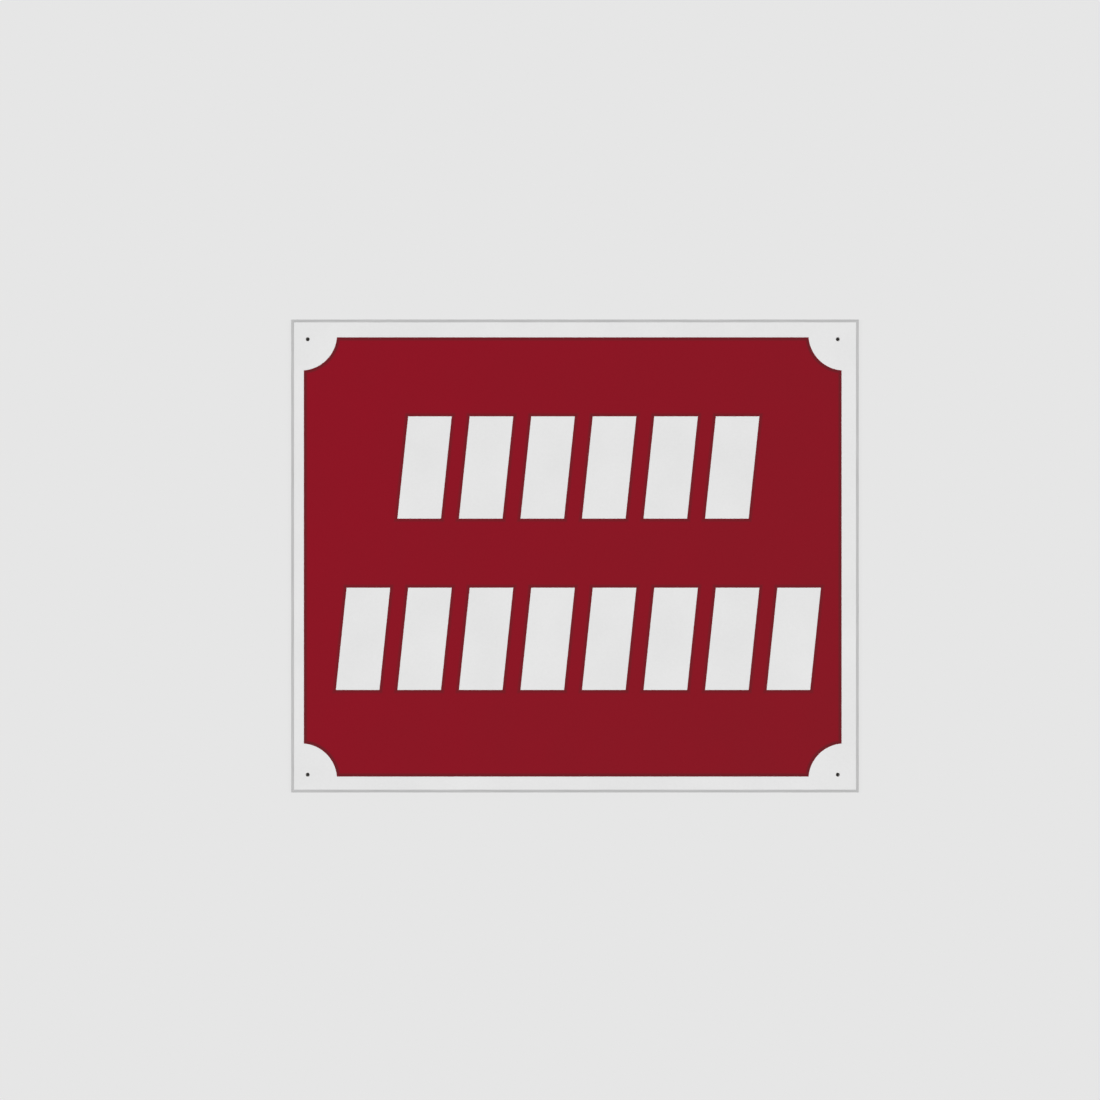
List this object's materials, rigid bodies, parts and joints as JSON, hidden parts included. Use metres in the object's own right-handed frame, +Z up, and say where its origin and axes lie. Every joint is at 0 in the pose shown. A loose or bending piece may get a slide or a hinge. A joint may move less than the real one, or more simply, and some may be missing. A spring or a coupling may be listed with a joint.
{
  "type": "hunting reserve sign",
  "caption": "Flat rectangular plastic notice plate with a bevelled front edge, corner nail holes and a red printed field with hollowed corners and rows of white blocks.",
  "frame": {"origin": "middle of the four nail holes, on the back face of the sheet", "axes": "+Z up, +X to the right as read from the front, the printed face looks towards -Y and the back towards +Y"},
  "size_m": [0.3, 0.0031, 0.25],
  "materials": {
    "white_plastic": "satin rigid sheet",
    "red_ink": "matt screen-printing ink, darker along its edges"
  },
  "bodies": {
    "root": {"sheet": "white_plastic", "red_print": "red_ink"}
  },
  "joints": []
}
